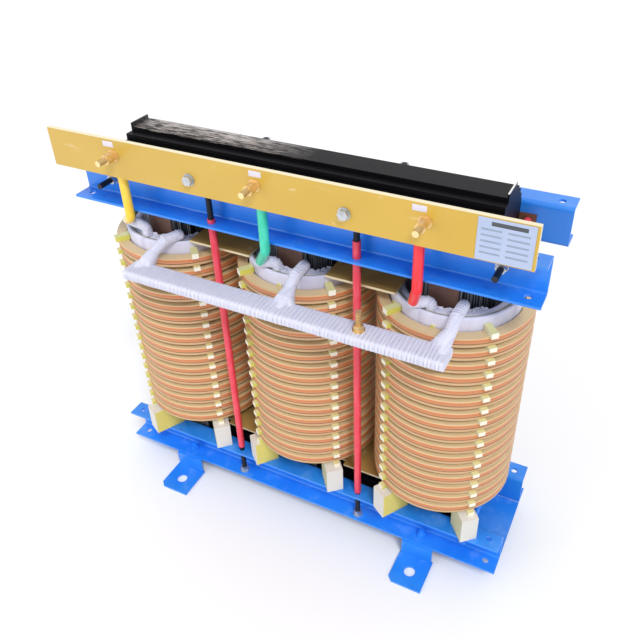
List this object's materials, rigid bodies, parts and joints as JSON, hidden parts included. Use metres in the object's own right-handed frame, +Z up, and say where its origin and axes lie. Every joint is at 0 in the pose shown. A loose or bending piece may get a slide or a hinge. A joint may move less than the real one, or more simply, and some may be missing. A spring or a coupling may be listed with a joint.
{
  "type": "dry type transformer",
  "caption": "Open dry type three-phase transformer: stepped core in folded channel clamps, disc coils, terminal board in front and a taped star bar.",
  "frame": {"origin": "centre of the four floor holes in the feet, on the floor plane", "axes": "+X along the clamps to the nameplate end, -Y towards the terminal side, +Z up"},
  "size_m": [1, 0.445, 0.942],
  "materials": {
    "core_black": "satin",
    "clamp_blue": "gloss",
    "pressboard_brown": "matte",
    "window_board": "satin",
    "thread_black": "satin",
    "zinc": "satin",
    "brass": "satin",
    "sleeve_red": "gloss",
    "winding_wire": "satin",
    "cotton_tape": "matte",
    "barrier_olive": "satin",
    "spacer_cream": "matte",
    "block_cream": "matte",
    "board_yellow": "gloss",
    "plate_silver": "satin",
    "lug_tinned": "satin",
    "lead_yellow": "gloss",
    "lead_green": "gloss",
    "lead_red": "gloss"
  },
  "bodies": {
    "root": {"barrier_tubes": "barrier_olive", "board_bolts": "zinc", "board_brackets": "clamp_blue", "board_nuts": "zinc", "board_washers": "zinc", "clamp_lower_front": "clamp_blue", "clamp_lower_rear": "clamp_blue", "clamp_stud_nuts": "zinc", "clamp_stud_sleeves": "sleeve_red", "clamp_stud_washers": "zinc", "clamp_studs": "thread_black", "clamp_upper_front": "clamp_blue", "clamp_upper_rear": "clamp_blue", "core_limb_left": "core_black", "core_limb_middle": "core_black", "core_limb_right": "core_black", "core_lower_yoke": "core_black", "core_upper_yoke": "core_black", "cross_plates": "clamp_blue", "disc_winding_left": "winding_wire", "disc_winding_middle": "winding_wire", "disc_winding_right": "winding_wire", "foot_bolts": "clamp_blue", "foot_front_left": "clamp_blue", "foot_front_right": "clamp_blue", "foot_nuts": "clamp_blue", "foot_rear_left": "clamp_blue", "foot_rear_right": "clamp_blue", "inner_winding_left": "cotton_tape", "inner_winding_middle": "cotton_tape", "inner_winding_right": "cotton_tape", "lead_lugs": "lug_tinned", "lead_roots": "cotton_tape", "limb_strips": "pressboard_brown", "nameplate": "plate_silver", "phase_lead_left": "lead_yellow", "phase_lead_middle": "lead_green", "phase_lead_right": "lead_red", "spacers_left": "spacer_cream", "spacers_middle": "spacer_cream", "spacers_right": "spacer_cream", "star_bar": "cotton_tape", "star_bolt": "brass", "star_nut": "brass", "star_washer": "brass", "support_blocks": "block_cream", "taped_layers": "cotton_tape", "terminal_board": "board_yellow", "terminal_nuts": "brass", "terminal_studs": "brass", "terminal_washers": "brass", "tie_rod_nuts": "zinc", "tie_rod_sleeves": "sleeve_red", "tie_rod_washers": "zinc", "tie_rods": "thread_black", "window_plates_lower": "window_board", "window_plates_upper": "window_board", "yoke_boards": "pressboard_brown"}
  },
  "joints": []
}
